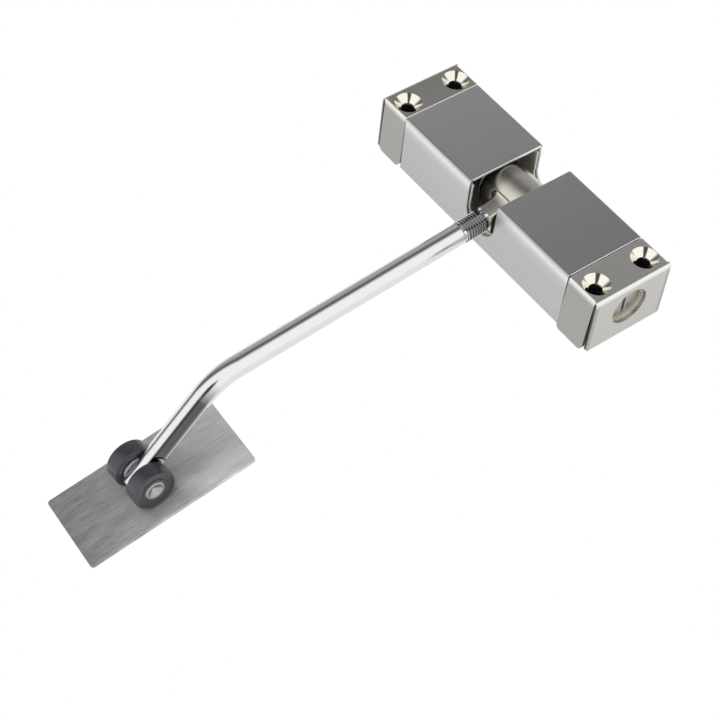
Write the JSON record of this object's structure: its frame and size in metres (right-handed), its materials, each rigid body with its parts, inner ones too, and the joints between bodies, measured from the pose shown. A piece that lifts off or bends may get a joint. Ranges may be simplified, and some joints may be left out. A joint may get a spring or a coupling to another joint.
{
  "type": "self-closing hinge",
  "caption": "Surface-mounted self-closing hinge: a brushed steel spring body with a chromed arm, two rollers and their strike plate.",
  "frame": {"origin": "centre of the body's mounting face", "axes": "+Z out of the door, +X along the body towards the adjuster, arm towards -Y"},
  "size_m": [0.105, 0.1847, 0.061],
  "materials": {
    "brushed_cover": "brushed",
    "cap_steel": "satin",
    "base_steel": "satin",
    "nickel": "satin",
    "arm_chrome": "polished",
    "roller_plastic": "glossy",
    "plate_steel": "brushed",
    "pad_foam": "matte",
    "spring_steel": "oiled",
    "block_zinc": "die-cast zinc",
    "bush_bronze": "satin"
  },
  "bodies": {
    "housing": {"cover_channel": "brushed_cover", "base_channel": "base_steel", "left_end_cap": "cap_steel", "right_end_cap": "cap_steel", "left_end_block": "block_zinc", "right_end_block": "block_zinc", "left_shaft_bush": "bush_bronze", "left_torsion_spring": "spring_steel", "right_torsion_spring": "spring_steel", "pawl_leaf": "spring_steel"},
    "hub": {"hub_drum": "nickel", "hub_shaft": "spring_steel"},
    "arm": {"arm_rod": "arm_chrome", "roller_pin": "arm_chrome", "front_washer": "arm_chrome", "rear_washer": "arm_chrome"},
    "front_wheel": {"front_roller": "roller_plastic"},
    "rear_wheel": {"rear_roller": "roller_plastic"},
    "plate": {"strike_plate": "plate_steel", "adhesive_pad": "pad_foam"},
    "plug": {"spring_plug": "block_zinc", "lock_spring": "spring_steel"},
    "spindle": {"adjuster_spindle": "nickel", "ratchet_wheel": "spring_steel"}
  },
  "joints": [
    {"name": "arm_swing", "type": "hinge", "parent": "housing", "child": "hub", "pos_m": [0, 0, 0.012], "axis": [-1, 0, 0], "range_deg": [0, 180], "stiffness_Nm_per_rad": 0.35, "springref_deg": -68.75, "deforming": ["left_torsion_spring", "right_torsion_spring"]},
    {"name": "arm_align", "type": "hinge", "parent": "hub", "child": "arm", "pos_m": [0, -0.0001, 0.01304], "axis": [0, -0.9951, -0.0993], "range_deg": [-15, 15]},
    {"name": "plate_travel", "type": "slide", "parent": "arm", "child": "plate", "axis": [0.0515, 0.9673, 0.2484], "range_m": [-0.024, 0.022]},
    {"name": "front_roller_spin", "type": "hinge", "parent": "arm", "child": "front_wheel", "pos_m": [0.00214, -0.14304, -0.02272], "axis": [0.9951, -0.0099, 0.0988], "range_deg": [-200, 200]},
    {"name": "rear_roller_spin", "type": "hinge", "parent": "arm", "child": "rear_wheel", "pos_m": [0.00214, -0.14304, -0.02272], "axis": [0.9951, -0.0099, 0.0988], "range_deg": [-200, 200]},
    {"name": "adjuster_turn", "type": "hinge", "parent": "housing", "child": "plug", "pos_m": [0, 0, 0.012], "axis": [1, 0, 0], "range_deg": [0, 720], "deforming": ["right_torsion_spring", "pawl_leaf"]},
    {"name": "adjuster_push", "type": "slide", "parent": "plug", "child": "spindle", "axis": [-1, 0, 0], "range_m": [0, 0.0022], "stiffness_N_per_m": 2000, "springref_m": -0.001, "deforming": ["lock_spring"]}
  ],
  "couplings": [
    {"joint": "front_roller_spin", "follows": "plate_travel", "rad_per_m": 141.84},
    {"joint": "rear_roller_spin", "follows": "plate_travel", "rad_per_m": 141.84}
  ]
}
